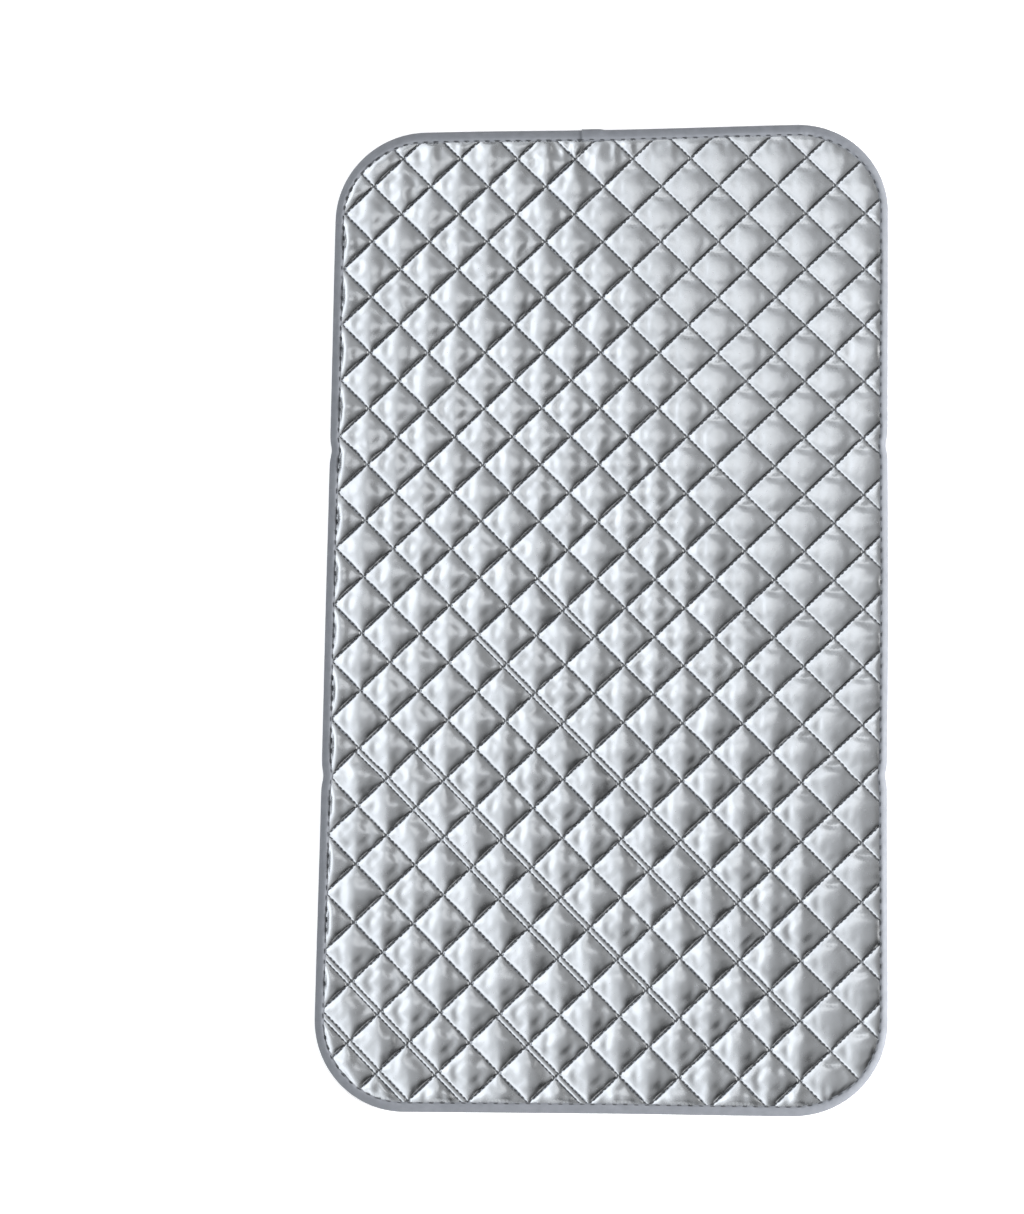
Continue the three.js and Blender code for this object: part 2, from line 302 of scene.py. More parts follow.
def crossing(falling, rising):
    """Where two seams cross, from their numbers, which may be fractions."""
    fall_x, fall_y = -math.sin(FALLING["angle"]), math.cos(FALLING["angle"])
    rise_x, rise_y = -math.sin(RISING["angle"]), math.cos(RISING["angle"])
    fall_place = FALLING["offset"] + falling * FALLING["pitch"]
    rise_place = RISING["offset"] + rising * RISING["pitch"]
    turn = fall_x * rise_y - fall_y * rise_x
    x = (fall_place * rise_y - rise_place * fall_y) / turn
    y = (rise_place * fall_x - fall_place * rise_x) / turn
    return x, y


def lay(points):
    """Places points as the soft pad lies: edges a little wavy, and creases where it was folded."""
    x, y, z = points.T
    edge = 1 - rise(inset_of(x, y), 0, EDGE_BAND)
    crease = bump(np.abs(y) - CREASE_Y, CREASE_WIDTH)
    side = rise(np.abs(x), CREASE_SIDE, PAD_WIDTH / 2)
    pull = CREASE_PULL * np.sign(x) * side * crease
    x_moved = x + OUTLINE_WANDER * soft_noise(x, y, size=170, seed=11) - pull
    y_moved = y + OUTLINE_WANDER * soft_noise(x, y, size=150, seed=12)
    edge_lift = EDGE_LIFT * edge * (1 + soft_noise(x, y, size=90, seed=13))
    crease_lift = CREASE_LIFT * crease * (0.4 + side)
    return np.stack([x_moved, y_moved, z + edge_lift + crease_lift], 1)


def new_piece(name, points, faces, edges=()):
    """A mesh piece at the origin from points in millimetres."""
    mesh = bpy.data.meshes.new(name)
    mesh.from_pydata((np.asarray(points) * MM).tolist(), list(edges), [list(face) for face in faces])
    mesh.polygons.foreach_set("use_smooth", [True] * len(mesh.polygons))
    piece = bpy.data.objects.new(name, mesh)
    bpy.context.scene.collection.objects.link(piece)
    return piece


def points_of(piece):
    """The points of a piece in millimetres, as its modifiers leave them."""
    graph = bpy.context.evaluated_depsgraph_get()
    shown = piece.evaluated_get(graph).data
    flat = np.empty(3 * len(shown.vertices))
    shown.vertices.foreach_get("co", flat)
    return flat.reshape(-1, 3) / MM


def set_points(piece, points):
    """Moves the points of a piece to places in millimetres."""
    piece.data.vertices.foreach_set("co", (points * MM).ravel())
    piece.data.update()


def made_plain(piece):
    """Replaces a piece's modifiers by the mesh that they make."""
    graph = bpy.context.evaluated_depsgraph_get()
    mesh = bpy.data.meshes.new_from_object(piece.evaluated_get(graph))
    piece.modifiers.clear()
    piece.data = mesh
    mesh.name = piece.name
    return piece


# Quilted cloth

class QuiltGrid:
    """Points in rows along both families of seams, cut at the edge of the cloth."""

    def __init__(self, steps):
        reach = steps * math.ceil((PAD_WIDTH + PAD_LENGTH) / 2 / FALLING["pitch"])
        count = np.arange(-reach, reach + 1)
        falling, rising = np.meshgrid(count, count, indexing="ij")
        x, y = crossing(falling / steps, rising / steps)
        inside = inset_of(x, y) > CLOTH_INSET
        kept = inside[:-1, :-1] | inside[1:, :-1] | inside[1:, 1:] | inside[:-1, 1:]
        used = np.zeros_like(inside)
        for down, over in ((0, 0), (1, 0), (1, 1), (0, 1)):
            used[down:down + kept.shape[0], over:over + kept.shape[1]] |= kept
        number = np.full(inside.shape, -1)
        number[used] = np.arange(used.sum())
        row, column = np.nonzero(kept)
        corners = [number[row, column], number[row + 1, column]]
        corners += [number[row + 1, column + 1], number[row, column + 1]]
        self.steps = steps
        self.number = number
        self.reach = reach
        self.faces = np.stack(corners, 1)
        self.falling, self.rising = falling[used], rising[used]
        self.x, self.y = pull_to_edge(x[used], y[used], CLOTH_INSET)
        self.inset = inset_of(self.x, self.y)
        self.face = tape_face(*facing(self.x, self.y))

    def place_in_cell(self):
        """How far each point lies across its cell from the falling and from the rising seam: from 0 to 1."""
        return (self.falling % self.steps) / self.steps, (self.rising % self.steps) / self.steps

    def puff(self):
        """A soft mound over each cell, from 0 on its seams to 1."""
        across, along = self.place_in_cell()
        return np.sin(math.pi * across) * np.sin(math.pi * along)

    def seam_rows(self, family):
        """The point numbers along each seam of a family, in order."""
        rows = []
        for seam in range(-self.reach // self.steps, self.reach // self.steps + 1):
            place = seam * self.steps + self.reach
            row = self.number[place, :] if family == "falling" else self.number[:, place]
            rows.append(row[row >= 0])
        return rows

    def beside_seams(self, family, steps):
        """The point numbers along each second line of a family, a few grid steps from its seam."""
        rows = []
        for seam, start, end in SECOND_LINES[family]:
            along = slice(start * self.steps + self.reach, end * self.steps + self.reach + 1)
            place = seam * self.steps + self.reach
            if family == "falling":
                row = self.number[place - steps, along]
            else:
                row = self.number[along, place + steps]
            rows.append(row[row >= 0])
        return rows

    def sewn(self):
        """True for points that a quilting row or the tape holds down."""
        on_seam = (self.falling % self.steps == 0) | (self.rising % self.steps == 0)
        return on_seam | (self.inset < self.face - TAPE_HOLD)

    def sewn_twice(self):
        """True for points on the second row of a seam that was sewn twice."""
        found = np.zeros(len(self.x), bool)
        found[np.concatenate(self.beside_seams("falling", SECOND_LINE_STEPS["falling"]))] = True
        return found

    def seam_gap(self):
        """How far each point lies from the nearest row of quilting stitches."""
        gap = np.inf
        for place, seam in ((self.falling, FALLING), (self.rising, RISING)):
            steps_off = np.minimum(place % self.steps, -place % self.steps)
            gap = np.minimum(gap, steps_off / self.steps * seam["pitch"])
        return np.where(self.sewn_twice(), 0, gap)

    def tucked(self, height):
        """Heights with narrow rolls between double rows, and flat bands at the tucks."""
        height = height.copy()
        for step in range(1, SECOND_LINE_STEPS["falling"]):
            height[np.concatenate(self.beside_seams("falling", step))] += ROLL_HEIGHT
        for step in range(1, SECOND_LINE_STEPS["rising"] + 1):
            band = np.concatenate(self.beside_seams("rising", step))
            height[band] = np.minimum(height[band], TUCK_HEIGHT + TUCK_SLOPE * step)
        return height

    def evened(self, values, fixed, rounds):
        """Values drawn towards those of their neighbours, except at fixed points."""
        used = self.number >= 0
        field = np.zeros(used.shape)
        field[used] = values
        free = np.zeros(used.shape, bool)
        free[used] = ~fixed
        for _ in range(rounds):
            around = sum(np.roll(field, step, axis) for step in (1, -1) for axis in (0, 1)) / 4
            field = np.where(free, (field + around) / 2, field)
        return field[used]

    def lowest_near(self, values, steps):
        """The lowest value within a few steps of each point."""
        used = self.number >= 0
        field = np.full(used.shape, np.inf)
        field[used] = values
        for axis in (0, 1):
            field = np.min([np.roll(field, step, axis) for step in range(-steps, steps + 1)], axis=0)
        return field[used]


def settle(piece, sewn, slack, pressure, frames):
    """Lets the cloth of a piece buckle and puff between its sewn points, and returns its points."""
    group = piece.vertex_groups.new(name="sewn")
    group.add(np.nonzero(sewn)[0].tolist(), 1.0, "REPLACE")
    snug = piece.vertex_groups.new(name="snug")
    for number, share in enumerate((1 - slack / slack.max()).tolist()):
        snug.add([number], share, "REPLACE")
    cloth = piece.modifiers.new("cloth", "CLOTH")
    cloth.collision_settings.use_collision = False
    cloth.point_cache.frame_start = 1
    cloth.point_cache.frame_end = frames
    settings = cloth.settings
    settings.vertex_group_mass = "sewn"
    settings.vertex_group_shrink = "snug"
    settings.shrink_min = -slack.max()
    settings.shrink_max = 0
    settings.quality = 5
    settings.mass = 0.002
    settings.tension_stiffness = 15
    settings.compression_stiffness = 15
    settings.shear_stiffness = 5
    settings.bending_stiffness = 0.5
    settings.air_damping = 4
    settings.use_pressure = True
    settings.uniform_pressure_force = pressure
    settings.effector_weights.gravity = 0
    for number in range(1, frames + 1):
        bpy.context.scene.frame_set(number)
    settled = points_of(piece)
    piece.modifiers.clear()
    piece.vertex_groups.clear()
    bpy.context.scene.frame_set(1)
    return settled


def sharpen(piece, creased):
    """Marks the edges between creased points, so that the cloth breaks sharply along its seams."""
    ends = np.empty(2 * len(piece.data.edges), int)
    piece.data.edges.foreach_get("vertices", ends)
    ends = ends.reshape(-1, 2)
    marks = piece.data.attributes.new("sharp_edge", "BOOLEAN", "EDGE")
    marks.data.foreach_set("value", creased[ends[:, 0]] & creased[ends[:, 1]])


def cell_folds(grid):
    """The ridge that runs up the middle of a cell, the ripples and hollows round it, and the curved folds
    near the upper and lower corners of the flatter cells."""
    across, along = grid.place_in_cell()
    rightward, upward = across - along, across + along - 1
    flat = flatter_side(grid.x, grid.y)
    # Uneven steps from cell to cell, so that neighbours get unlike values
    column, row = grid.falling // grid.steps * 7.3, grid.rising // grid.steps * 5.9

    def chance(seed):
        """One random value from -1 to 1 for each cell."""
        return soft_noise(column, row, size=1.0, seed=seed)

    def hollow(name, moved_right=0, moved_up=0):
        """One of the hollows, moved from its place."""
        right, up = HOLLOWS[name]["place"]
        width, height = HOLLOWS[name]["size"]
        spread = bump(rightward - right - moved_right, width) * bump(upward - up - moved_up, height)
        return HOLLOWS[name]["depth"] * spread

    # The ridge is sharp in the lower part of the cell and widens upwards
    bluntness = 0.05 + 0.12 * rise(upward, -0.2, 0.6)
    ridge = np.exp(-np.hypot(rightward, bluntness) / RIDGE_WIDTH) * (1 - np.abs(upward)) ** 0.7
    beside_ridge = rise(np.abs(rightward), 0.05, 0.45)
    ripples = soft_noise(grid.x, 0.4 * grid.y, RIPPLE_SIZE, seed=57) * beside_ridge * grid.puff()
    left = hollow("left", HOLLOW_BEND * upward ** 2 - HOLLOW_WANDER * chance(51), HOLLOW_WANDER * chance(52))
    spot = hollow("spot", -HOLLOW_WANDER / 2 * chance(58))
    right = hollow("right", -HOLLOW_WANDER * chance(53), -HOLLOW_WANDER / 2 * chance(54))
    brow = hollow("brow", HOLLOW_WANDER * chance(59), HOLLOW_BEND * rightward ** 2)
    chin = hollow("chin", HOLLOW_WANDER * chance(60), -HOLLOW_BEND * rightward ** 2)
    dents = left * (1 + 0.6 * chance(55)) + right * (1 + chance(56)) + spot * (1 + chance(58))
    arcs = brow * (1 + chance(59)) + chin * np.maximum(chance(60), 0)
    raised = (RIDGE_HEIGHT - RIDGE_LOSS * flat) * ridge + RIPPLE_HEIGHT * (1 + flat) * ripples
    return raised - (1 - HOLLOW_LOSS * flat) * dents - flat * arcs


def beside_lap(grid, middle, width, start, full):
    """1 beside the tape's lap, fading to both sides and down the pad."""
    return bump(grid.x - middle, width) * rise(grid.y, start, full)


def edge_gathers(grid):
    """Small folds square to the edge, where the tape gathers the cover, deepest beside the lap."""
    _, upward = facing(grid.x, grid.y)
    facing_end = upward ** 2
    upright = soft_noise(grid.x, 0.2 * grid.y, GATHER_SIZE, seed=61)
    level = soft_noise(0.2 * grid.x, grid.y, GATHER_SIZE, seed=62)
    folds = facing_end * upright + (1 - facing_end) * level
    lap = beside_lap(grid, **LAP_GATHERS)
    reach = GATHER_REACH + GATHER_REACH_LAP * lap
    fade = 1 - rise(grid.inset, grid.face, grid.face + reach)
    return folds * fade * (GATHER_DEPTH + GATHER_DEPTH_LAP * lap)


def make_cover(grid):
    """The silver cover, puffed up between its seams by simulation."""
    flat = flatter_side(grid.x, grid.y)
    sewn = grid.sewn() | grid.sewn_twice()
    # It starts about half puffed, so that it buckles upwards
    uneven = 1 + 0.2 * soft_noise(grid.x, grid.y, size=45, seed=21)
    start = 0.5 * PUFF_HEIGHT * grid.puff() * uneven
    height = COVER_SEAM + np.where(sewn, 0, start)
    puffed = np.stack([grid.x, grid.y, height], 1)
    cover = new_piece("silver_cover", puffed, grid.faces)
    lap = beside_lap(grid, **LAP_SLACK)
    slack = COVER_SLACK - COVER_SLACK_LOSS * flat + COVER_SLACK_LAP * lap
    puffed = settle(cover, sewn, slack, pressure=40, frames=12)
    share = np.clip((puffed[:, 2] - COVER_SEAM) / PUFF_HEIGHT, 0, 1.2)
    share = grid.evened(share, sewn, rounds=3)
    full = PUFF_HEIGHT * share ** (PUFF_POWER - PUFF_POWER_LOSS * flat) * (1 - PUFF_HEIGHT_LOSS * flat)
    folded = grid.tucked(full + cell_folds(grid) + edge_gathers(grid))
    # Next to the tape the cover rises from under it at a slope, and below the tape its edge is pressed down
    room = COVER_RIM_ROOM + COVER_RIM_SLOPE * np.maximum(grid.inset - grid.face, 0)
    pressed = COVER_EDGE_DROP * (1 - rise(grid.inset, CLOTH_INSET, grid.face - 1))
    puffed[:, 2] = COVER_SEAM - pressed + np.where(sewn, 0, np.clip(folded, 0, room))
    laid = lay(puffed)
    set_points(cover, laid)
    sharpen(cover, sewn & (grid.inset > grid.face))
    # Distance to the nearest seam, for the finish's painted shade and pressed groove along the seams
    gaps = cover.data.attributes.new("seam_gap", "FLOAT", "POINT")
    gaps.data.foreach_set("value", grid.seam_gap())
    return cover, laid


def make_backing(grid):
    """The plain cloth underneath, drawn up at the seams and sagging between them."""
    sewn = grid.sewn()
    height = BACKING_SEAM - np.where(sewn, 0, BACKING_SAG * grid.puff())
    puffed = np.stack([grid.x, grid.y, height], 1)
    backing = new_piece("backing_cloth", puffed, grid.faces[:, ::-1])
    slack = BACKING_SLACK + 0.006 * soft_noise(grid.x, grid.y, size=60, seed=31)
    puffed = settle(backing, sewn, slack, pressure=12, frames=10)
    puffed[:, 2] = np.minimum(puffed[:, 2], BACKING_SEAM)
    laid = lay(puffed)
    laid[:, 2] = np.maximum(laid[:, 2], BACKING_ROOM)
    set_points(backing, laid)
    return backing, laid


def make_wadding(cover_grid, cover_points):
    """The fibre filling: a closed crowned form a little below the cover."""
    grid = QuiltGrid(WADDING_STEPS)
    stride = COVER_STEPS // WADDING_STEPS
    row = np.clip(grid.falling * stride + cover_grid.reach, 0, 2 * cover_grid.reach)
    column = np.clip(grid.rising * stride + cover_grid.reach, 0, 2 * cover_grid.reach)
    match = cover_grid.number[row, column]
    lowest = cover_grid.lowest_near(cover_points[:, 2], stride // 2)
    over = np.where(match >= 0, lowest[match], COVER_SEAM)
    top = lay(np.stack([grid.x, grid.y, np.zeros_like(grid.x)], 1))
    base = BACKING_SEAM + WADDING_RISE + top[:, 2]
    bottom = top.copy()
    bottom[:, 2] = base
    top[:, 2] = np.maximum(over - WADDING_GAP, base + WADDING_LEAST)
    count = len(top)
    faces = [tuple(face) for face in grid.faces]
    sides = [side for face in faces for side in zip(face, face[1:] + face[:1])]
    paired = set(sides)
    rim = [(first, second) for first, second in sides if (second, first) not in paired]
    under = [tuple(corner + count for corner in face[::-1]) for face in faces]
    wall = [(second, first, first + count, second + count) for first, second in rim]
    return new_piece("wadding_fill", np.concatenate([top, bottom]), faces + under + wall)


# Edge tape

def tape_walk(spacing):
    """Stations counter-clockwise round the pad from the tape's hidden end to the end of its lap: the centres
    that they turn about, their outward directions, and their distances along the tape."""
    half_x, half_y = PAD_WIDTH / 2 - CORNER_RADIUS, PAD_LENGTH / 2 - CORNER_RADIUS
    start_x = LAP_END_X + LAP_LENGTH
    quarter = CORNER_RADIUS * math.pi / 2
    legs = [
        ((start_x, half_y), (-half_x, half_y), 90),
        ((-half_x, half_y), (-half_x, -half_y), 180),
        ((-half_x, -half_y), (half_x, -half_y), 270),
        ((half_x, -half_y), (half_x, half_y), 0),
        ((half_x, half_y), (LAP_END_X, half_y), 90),
    ]
    centres, angles, distances = [], [], []
    gone = 0.0
    for number, (begin, end, outward) in enumerate(legs):
        length = math.dist(begin, end)
        share = np.linspace(0, 1, math.ceil(length / spacing), endpoint=number == len(legs) - 1)[:, None]
        centres.append(np.array(begin) * (1 - share) + np.array(end) * share)
        angles.append(np.full(len(share), outward * DEGREE))
        distances.append(gone + share[:, 0] * length)
        gone += length
        if number < len(legs) - 1:
            turn = np.linspace(0, 1, math.ceil(quarter / spacing), endpoint=False)
            centres.append(np.tile(end, (len(turn), 1)))
            angles.append((outward + 90 * turn) * DEGREE)
            distances.append(gone + turn * quarter)
            gone += quarter
    angles = np.concatenate(angles)
    return np.concatenate(centres), np.stack([np.cos(angles), np.sin(angles)], 1), np.concatenate(distances)


def tape_profile(face):
    """Inset and height round the folded tape at each station, from its upper inner edge to its lower one,
    and the shares by which a lap pushes each line outwards and upwards."""
    face_lines, nose_lines, under_lines = 17, 6, 6
    across = (1 - np.cos(np.linspace(0, math.pi, face_lines))) / 2
    bend = np.linspace(0, 90, nose_lines)[1:] * DEGREE
    back = np.linspace(0, 1, under_lines)[1:]
    reach_under = (2 * TAPE_FACE - face)[:, None]
    inset = np.concatenate([
        face[:, None] * (1 - across),
        np.tile(TAPE_NOSE * (1 - np.cos(bend)), (len(face), 1)),
        TAPE_NOSE + (reach_under - TAPE_NOSE) * back,
    ], 1)
    climb = np.minimum(across / TAPE_CREST, 1)
    fall = np.maximum(across - TAPE_CREST, 0) / (1 - TAPE_CREST)
    inner = TAPE_EDGE + (TAPE_TOP - TAPE_EDGE) * np.sin(climb * math.pi / 2)
    outer = TAPE_NOSE + (TAPE_TOP - TAPE_NOSE) * (1 - fall ** TAPE_CURVE)
    height = np.concatenate([
        np.where(across < TAPE_CREST, inner, outer),
        TAPE_NOSE * (1 - np.sin(bend)),
        np.zeros(len(back)),
    ])
    outward = np.concatenate([across ** 2, np.cos(bend), np.zeros(len(back))])
    upward = np.concatenate([1 - 0.6 * across ** 2, 0.3 * np.cos(bend), np.zeros(len(back))])
    return inset, np.tile(height, (len(face), 1)), outward, upward


def tape_points(centres, normals, distance):
    """Points of the sewn tape, line by line at each station, and how far across the flat strip each lies."""
    face = tape_face(*normals.T)
    inset, height, outward, upward = tape_profile(face)
    run = distance[:, None]
    whole = distance[-1] - LAP_LENGTH
    upper = height > TAPE_NOSE
    from_lip = face[:, None] - inset
    lip = np.where(upper, 1 - rise(from_lip, 0, LIP_WIDTH), 0)
    pull = 0.5 + 0.5 * np.cos(2 * math.pi * run / TAPE_STITCH["pitch"])
    groove = np.where(upper, bump(from_lip - TAPE_STITCH_MARGIN, TAPE_GROOVE_WIDTH), 0)
    flare = np.where(upper, 1 - rise(from_lip, 0, LIP_FLARE_WIDTH), 0)
    slow = soft_noise(run, np.zeros_like(run), size=37, seed=41)
    quick = soft_noise(run, np.zeros_like(run) + 500, size=7, seed=42)
    turned = np.abs(np.gradient(normals, axis=0)).sum(1)[:, None] > 1e-4
    gathers = np.where(turned, np.sin(2 * math.pi * run / LIP_GATHER_PITCH + 2 * slow), quick)
    over = rise(run, whole - LAP_STEP, whole)
    tall = height - groove * (TAPE_GROOVE + TAPE_PULL * pull)
    tall = tall + LIP_FLARE * flare + LIP_GATHER * lip * gathers + over * LAP_LIFT * upward
    wander = LIP_WANDER_LONG * slow + LIP_WANDER_SHORT * quick - TAPE_PULL * pull
    wide = inset + lip * wander - over * LAP_LIFT * outward
    plan = centres[:, None, :] + normals[:, None, :] * (CORNER_RADIUS - wide)[..., None]
    laid = lay(np.concatenate([plan, tall[..., None]], 2).reshape(-1, 3))
    laid[:, 2] = np.maximum(laid[:, 2], TAPE_ROOM)
    strides = np.hypot(np.diff(inset, axis=1), np.diff(height, axis=1))
    across = np.concatenate([np.zeros_like(run), np.cumsum(strides, 1)], 1)
    return laid, across


def make_tape():
    """One strip of folded tape, pressed down along its stitches, with its end lapped over its start. Also
    returns its length and its width laid flat."""
    centres, normals, distance = tape_walk(spacing=1.5)
    laid, across = tape_points(centres, normals, distance)
    number = np.arange(across.size).reshape(across.shape)
    faces = np.stack([
        number[:-1, :-1], number[:-1, 1:], number[1:, 1:], number[1:, :-1],
    ], -1).reshape(-1, 4)
    tape = new_piece("edge_tape", laid, faces)
    # The weave runs along the flat strip, in metres along it and across it
    along = np.broadcast_to(distance[:, None], across.shape)
    spread = np.stack([along.ravel(), across.ravel()], 1) * MM
    corner = np.empty(len(tape.data.loops), int)
    tape.data.loops.foreach_get("vertex_index", corner)
    layer = tape.data.uv_layers.new(name="tape_run")
    layer.data.foreach_set("uv", spread[corner].ravel())
    wall = tape.modifiers.new("cloth", "SOLIDIFY")
    wall.thickness = TAPE_THICKNESS * MM
    wall.offset = -1
    return made_plain(tape), distance[-1], across[:, -1].mean()


# Nodes

def add_node(tree, kind, inputs=None, **settings):
    """Adds a node, sets its properties, and sets or links its inputs by name or number."""
    made = tree.nodes.new(kind)
    for name, value in settings.items():
        setattr(made, name, value)
    for key, value in (inputs or {}).items():
        socket = made.inputs[key]
        if isinstance(value, bpy.types.NodeSocket):
            tree.links.new(value, socket)
        else:
            socket.default_value = value
    return made


# Stitches

def stitch_tree():
    """Geometry nodes that lay thread stitches end to end along every line of a mesh."""
    tree = bpy.data.node_groups.new("sewn_rows", "GeometryNodeTree")
    inputs = {
        "Rows": "Geometry", "Stitch Pitch": "Float", "Stitch Length": "Float", "Thread Radius": "Float",
        "Wander": "Float", "Sides": "Int", "Seed": "Int", "Thread": "Material",
    }
    for name, kind in inputs.items():
        tree.interface.new_socket(name, in_out="INPUT", socket_type=f"NodeSocket{kind}")
    tree.interface.new_socket("Stitches", in_out="OUTPUT", socket_type="NodeSocketGeometry")
    given = add_node(tree, "NodeGroupInput").outputs
    line = add_node(tree, "GeometryNodeMeshToCurve", {"Mesh": given["Rows"]})
    holes = add_node(tree, "GeometryNodeResampleCurve", {
        "Curve": line.outputs["Curve"], "Length": given["Stitch Pitch"],
    }, mode="LENGTH")
    low = add_node(tree, "ShaderNodeMath", {0: given["Wander"], 1: -1.0}, operation="MULTIPLY")
    jitter = add_node(tree, "FunctionNodeRandomValue", {
        "Min": low.outputs[0], "Max": given["Wander"], "Seed": given["Seed"],
    }, data_type="FLOAT_VECTOR")
    moved = add_node(tree, "GeometryNodeSetPosition", {
        "Geometry": holes.outputs["Curve"], "Offset": jitter.outputs[0],
    })
    heading = add_node(tree, "GeometryNodeInputTangent")
    turned = add_node(tree, "FunctionNodeAlignRotationToVector", {
        "Vector": heading.outputs[0],
    }, axis="X")
    half = add_node(tree, "ShaderNodeMath", {0: given["Stitch Length"], 1: 0.5}, operation="MULTIPLY")
    shape = add_node(tree, "ShaderNodeCombineXYZ", {
        "X": half.outputs[0], "Y": given["Thread Radius"], "Z": given["Thread Radius"],
    })
    strand = add_node(tree, "GeometryNodeMeshUVSphere", {
        "Segments": given["Sides"], "Rings": 4, "Radius": 1.0,
    })
    rows = add_node(tree, "GeometryNodeInstanceOnPoints", {
        "Points": moved.outputs["Geometry"], "Instance": strand.outputs["Mesh"],
        "Rotation": turned.outputs[0], "Scale": shape.outputs[0],
    })
    real = add_node(tree, "GeometryNodeRealizeInstances", {"Geometry": rows.outputs["Instances"]})
    smooth = add_node(tree, "GeometryNodeSetShadeSmooth", {"Geometry": real.outputs["Geometry"]})
    finished = add_node(tree, "GeometryNodeSetMaterial", {
        "Geometry": smooth.outputs["Geometry"], "Material": given["Thread"],
    })
    add_node(tree, "NodeGroupOutput", {"Stitches": finished.outputs["Geometry"]})
    return tree


def sew(name, rows, tree, thread, pitch, length, radius, sides=6, seed=1):
    """Stitches of one thread along rows of points, as a plain mesh."""
    points = np.concatenate(rows)
    edges, start = [], 0
    for row in rows:
        edges += [(start + place, start + place + 1) for place in range(len(row) - 1)]
        start += len(row)
    piece = new_piece(name, points, [], edges)
    sewing = piece.modifiers.new("sewing", "NODES")
    sewing.node_group = tree
    values = {
        "Stitch Pitch": pitch * MM, "Stitch Length": length * MM, "Thread Radius": radius * MM,
        "Wander": NEEDLE_WANDER * MM, "Sides": sides, "Seed": seed, "Thread": thread,
    }
    for item in tree.interface.items_tree:
        if item.name in values:
            sewing[item.identifier] = values[item.name]
    return made_plain(piece)


def quilting_rows(grid, points, rows, above):
    """The visible stretch of each row of points, raised off the cloth."""
    shown = [row[grid.inset[row] > grid.face[row]] for row in rows]
    return [points[row] + (0, 0, above) for row in shown if len(row) > grid.steps // 2]


def tape_row(height):
    """The row of stitches along the tape's inner edge."""
    centres, normals, distance = tape_walk(spacing=2.0)
    inset = tape_face(*normals.T) - TAPE_STITCH_MARGIN
    plan = centres + normals * (CORNER_RADIUS - inset)[:, None]
    over = rise(distance, distance[-1] - LAP_LENGTH - LAP_STEP, distance[-1] - LAP_LENGTH)
    points = np.concatenate([plan, (height + LAP_LIFT * over)[:, None]], 1)
    return lay(points[distance > LAP_LENGTH])


# Finishes

def colour(code):
    """Linear colour from an sRGB hex code."""
    parts = [int(code[place:place + 2], 16) / 255 for place in (1, 3, 5)]
    linear = [part / 12.92 if part <= 0.04045 else ((part + 0.055) / 1.055) ** 2.4 for part in parts]
    return (*linear, 1.0)


def new_finish(name):
    """A material with an empty node tree."""
    finish = bpy.data.materials.new(name)
    finish.use_nodes = True
    finish.node_tree.nodes.clear()
    return finish, finish.node_tree


def wave_scale(spacing):
    """A wave texture's scale from the millimetres between crests, which at scale 1 are pi / 10 metres."""
    return math.pi / (10 * spacing * MM)


def mottled(tree, place, size, detail, dark, light):
    """A colour that wanders between a dark and a light one over about a size in millimetres."""
    tone = add_node(tree, "ShaderNodeTexNoise", {
        "Vector": place, "Scale": 1 / (size * MM), "Detail": detail,
    })
    shade = add_node(tree, "ShaderNodeMix", {
        "Factor": tone.outputs["Fac"], "A": colour(dark), "B": colour(light),
    }, data_type="RGBA")
    return shade.outputs["Result"]


def silver_coated_cloth():
    """Woven cloth with an aluminium coating: a satin metal sheen, fine crinkles, painted shade at the seams.
    """
    finish, tree = new_finish("silver_coated_cloth")
    place = add_node(tree, "ShaderNodeTexCoord").outputs["Object"]
    shade = mottled(tree, place, size=60, detail=3.0, dark="#C6C9CD", light="#D3D6DA")
    crinkle = add_node(tree, "ShaderNodeTexNoise", {
        "Vector": place, "Scale": 1 / (4 * MM), "Detail": 4.0, "Roughness": 0.55,
    })
    gloss = add_node(tree, "ShaderNodeMapRange", {
        "Value": crinkle.outputs["Fac"], "To Min": 0.22, "To Max": 0.3,
    })
    # Painted shade near the needle holes, and the cloth pressed in over a millimetre or two on each side
    gap = add_node(tree, "ShaderNodeAttribute", attribute_name="seam_gap").outputs["Fac"]
    whole = add_node(tree, "ShaderNodeMapRange", {
        "Value": gap, "From Min": 0.2, "From Max": 0.9,
    }, interpolation_type="SMOOTHSTEP")
    coat_with_painted_seam_shade = add_node(tree, "ShaderNodeMix", {
        "Factor": whole.outputs["Result"], "A": colour("#9B9EA3"), "B": shade,
    }, data_type="RGBA")
    groove = add_node(tree, "ShaderNodeMapRange", {
        "Value": gap, "From Max": 1.8,
    }, interpolation_type="SMOOTHSTEP")
    grooved = add_node(tree, "ShaderNodeBump", {"Height": groove.outputs["Result"], "Distance": 0.3 * MM})
    # Real threads lie 0.3 mm apart, drawn six times as coarse so that they show close up
    thread_spacing = 1.8
    warp, weft = [
        add_node(tree, "ShaderNodeTexWave", {
            "Vector": place, "Scale": wave_scale(thread_spacing),
        }, bands_direction=direction)
        for direction in ("X", "Y")
    ]
    weave = add_node(tree, "ShaderNodeMath", {
        0: warp.outputs["Fac"], 1: weft.outputs["Fac"],
    }, operation="MULTIPLY")
    woven = add_node(tree, "ShaderNodeBump", {
        "Height": weave.outputs[0], "Strength": 0.06, "Distance": 0.05 * MM,
        "Normal": grooved.outputs["Normal"],
    })
    crinkled = add_node(tree, "ShaderNodeBump", {
        "Height": crinkle.outputs["Fac"], "Strength": 0.3, "Distance": 0.2 * MM,
        "Normal": woven.outputs["Normal"],
    })
    shader = add_node(tree, "ShaderNodeBsdfPrincipled", {
        "Base Color": coat_with_painted_seam_shade.outputs["Result"], "Metallic": 1.0, "Roughness": gloss.outputs["Result"],
        "Normal": crinkled.outputs["Normal"],
    })
    add_node(tree, "ShaderNodeOutputMaterial", {"Surface": shader.outputs[0]})
    return finish


